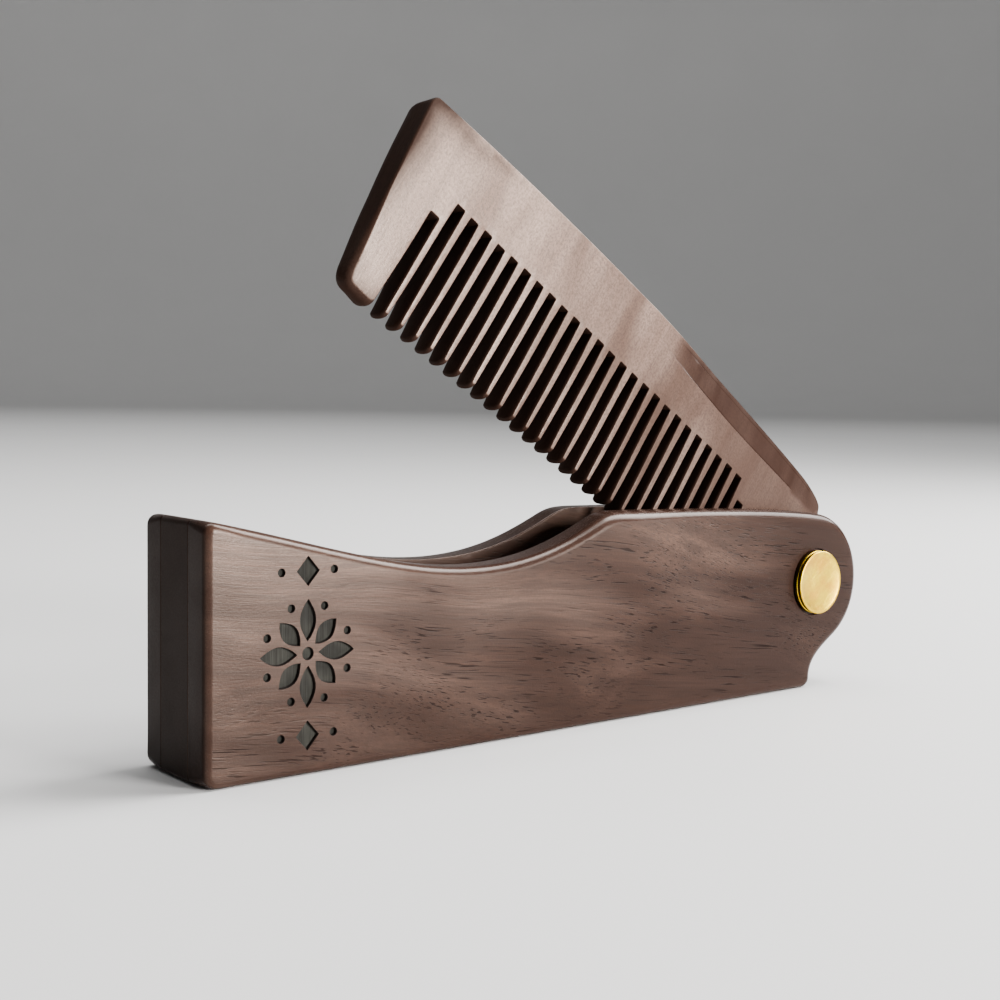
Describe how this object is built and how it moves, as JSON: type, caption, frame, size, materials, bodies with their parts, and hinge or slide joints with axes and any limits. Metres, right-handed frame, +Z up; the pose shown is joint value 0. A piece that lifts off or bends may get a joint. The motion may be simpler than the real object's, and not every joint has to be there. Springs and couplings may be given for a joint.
{
  "type": "folding beard comb",
  "caption": "Wooden beard comb that folds into a slotted two-scale handle on a brass pivot; it stands on the handle's narrow lower edge.",
  "frame": {"origin": "on the flat lower edge of the handle, halfway along the handle and halfway through its thickness", "axes": "+X along the handle from the butt to the pivot, +Y from the front scale to the rear scale, +Z up; the blade is stored 35 degrees open"},
  "size_m": [0.11, 0.0166, 0.0777],
  "materials": {
    "handle_wood": "satin oiled dark wood with fine pores and burnished edges",
    "spacer_wood": "satin, darker than the scales",
    "blade_wood": "smooth satin, fine close grain",
    "pivot_brass": "lightly scratched, bright rim",
    "washer_brass": "plain rolled sheet"
  },
  "bodies": {
    "handle": {"front_scale": "handle_wood", "rear_scale": "handle_wood", "butt_spacer": "spacer_wood", "back_spacer": "spacer_wood", "pivot_post": "pivot_brass", "pivot_screw": "pivot_brass", "front_washer": "washer_brass", "rear_washer": "washer_brass"},
    "blade": {"comb_blade": "blade_wood"}
  },
  "joints": [
    {"name": "blade_fold", "type": "hinge", "parent": "handle", "child": "blade", "pos_m": [0.045, 0, 0.0156], "axis": [0, 1, 0], "range_deg": [-35, 145]}
  ]
}
